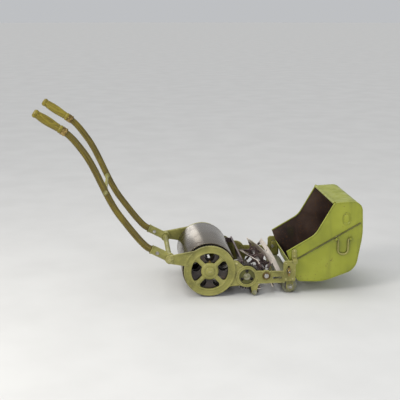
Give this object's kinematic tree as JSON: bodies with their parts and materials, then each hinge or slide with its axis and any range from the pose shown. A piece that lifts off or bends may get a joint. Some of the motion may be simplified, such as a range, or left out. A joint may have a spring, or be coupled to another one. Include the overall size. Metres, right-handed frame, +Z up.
{
  "type": "reel mower",
  "caption": "Antique walk-behind reel lawn mower with a broad rear roller, gear-driven cutting reel, curled sheet-metal grass box and S-shaped wooden handles.",
  "frame": {"origin": "on the ground, under the middle of the whole mower", "axes": "+Z up, +X forward from the handles towards the grass box, +Y to the left of a person who walks behind it"},
  "size_m": [1.5576, 0.5104, 0.9207],
  "materials": {
    "green_iron": "worn olive green paint on cast iron",
    "box_green": "yellow-green paint on sheet metal",
    "roller_steel": "polished by use, browned in places",
    "blade_steel": "ground steel",
    "shaft_steel": "satin, oiled",
    "dark_iron": "dark, oiled",
    "brass": "dull",
    "handle_wood": "dark varnish",
    "grip_wood": "worn, hand-polished",
    "roller_wood": "weathered grey-green paint"
  },
  "bodies": {
    "frame": {"side_frame_right": "green_iron", "side_frame_left": "green_iron", "rear_cross_bar": "green_iron", "deflector_plate": "dark_iron", "roller_cap_right": "green_iron", "roller_cap_left": "green_iron", "ring_cover_left": "green_iron", "idler_carrier": "dark_iron", "idler_stud": "shaft_steel", "reel_bearing_right": "brass", "reel_bearing_left": "brass", "bearing_set_screw_right": "shaft_steel", "bearing_set_screw_left": "shaft_steel", "knife_pivot_bolt_right": "shaft_steel", "knife_pivot_bolt_left": "shaft_steel", "handle_socket_right": "green_iron", "handle_socket_left": "green_iron", "handle_right": "handle_wood", "handle_left": "handle_wood", "ferrule_right": "brass", "ferrule_left": "brass", "grip_right": "grip_wood", "grip_left": "grip_wood", "handle_cross_stay": "green_iron"},
    "roller": {"roller_shell": "roller_steel", "roller_end_disc_right": "dark_iron", "roller_end_disc_left": "dark_iron", "roller_axle": "shaft_steel", "main_gear": "dark_iron"},
    "idler": {"idler_gear": "dark_iron"},
    "reel": {"reel_shaft": "shaft_steel", "reel_blade_1": "blade_steel", "reel_blade_2": "blade_steel", "reel_blade_3": "blade_steel", "reel_blade_4": "blade_steel", "reel_blade_5": "blade_steel", "reel_blade_6": "blade_steel", "reel_spider_1": "dark_iron", "reel_spider_2": "dark_iron", "reel_spider_3": "dark_iron", "reel_spider_4": "dark_iron", "reel_pinion": "dark_iron"},
    "knife_bar": {"knife_bar": "dark_iron", "bottom_blade": "blade_steel"},
    "front_carriage": {"front_bracket_right": "green_iron", "front_bracket_left": "green_iron", "front_spindle": "shaft_steel", "clamp_bolt_right": "shaft_steel", "clamp_bolt_left": "shaft_steel"},
    "front_roller": {"front_roller": "roller_wood"},
    "right_wing_nut": {"wing_nut_right": "brass"},
    "left_wing_nut": {"wing_nut_left": "brass"},
    "grass_box": {"box_side_right": "box_green", "box_side_left": "box_green", "box_sheet": "box_green", "box_lip_rod": "box_green", "box_hook_right": "green_iron", "box_hook_left": "green_iron"},
    "right_box_handle": {"box_handle_right": "green_iron"},
    "left_box_handle": {"box_handle_left": "green_iron"}
  },
  "joints": [
    {"name": "roller_spin", "type": "hinge", "parent": "frame", "child": "roller", "pos_m": [0.0286, 0, 0.13084], "axis": [0, 1, 0], "continuous": true},
    {"name": "idler_spin", "type": "hinge", "parent": "frame", "child": "idler", "pos_m": [0.20964, 0, 0.098], "axis": [0, 1, 0], "continuous": true},
    {"name": "reel_spin", "type": "hinge", "parent": "frame", "child": "reel", "pos_m": [0.3036, 0, 0.101], "axis": [0, 1, 0], "continuous": true},
    {"name": "knife_tilt", "type": "hinge", "parent": "frame", "child": "knife_bar", "pos_m": [0.2466, 0, 0.0165], "axis": [0, 1, 0], "range_deg": [0, 3]},
    {"name": "front_height", "type": "slide", "parent": "frame", "child": "front_carriage", "axis": [0, 0, 1], "range_m": [-0.02, 0.01]},
    {"name": "front_roller_spin", "type": "hinge", "parent": "front_carriage", "child": "front_roller", "pos_m": [0.4236, 0, 0.03583], "axis": [0, 1, 0], "continuous": true},
    {"name": "right_wing_nut_turn", "type": "hinge", "parent": "front_carriage", "child": "right_wing_nut", "pos_m": [0.4136, -0.2385, 0.12], "axis": [0, -1, 0], "range_deg": [0, 180]},
    {"name": "left_wing_nut_turn", "type": "hinge", "parent": "front_carriage", "child": "left_wing_nut", "pos_m": [0.4136, 0.2385, 0.12], "axis": [0, 1, 0], "range_deg": [0, 180]},
    {"name": "grass_box_lift", "type": "slide", "parent": "frame", "child": "grass_box", "axis": [0, 0, 1], "range_m": [0, 0.15]},
    {"name": "right_box_handle_swing", "type": "hinge", "parent": "grass_box", "child": "right_box_handle", "pos_m": [0.6836, -0.2102, 0.268], "axis": [-1, 0, 0], "range_deg": [0, 100]},
    {"name": "left_box_handle_swing", "type": "hinge", "parent": "grass_box", "child": "left_box_handle", "pos_m": [0.6836, 0.2102, 0.268], "axis": [1, 0, 0], "range_deg": [0, 100]}
  ],
  "couplings": [
    {"joint": "idler_spin", "follows": "roller_spin", "ratio": -1.875},
    {"joint": "reel_spin", "follows": "roller_spin", "ratio": 4}
  ]
}
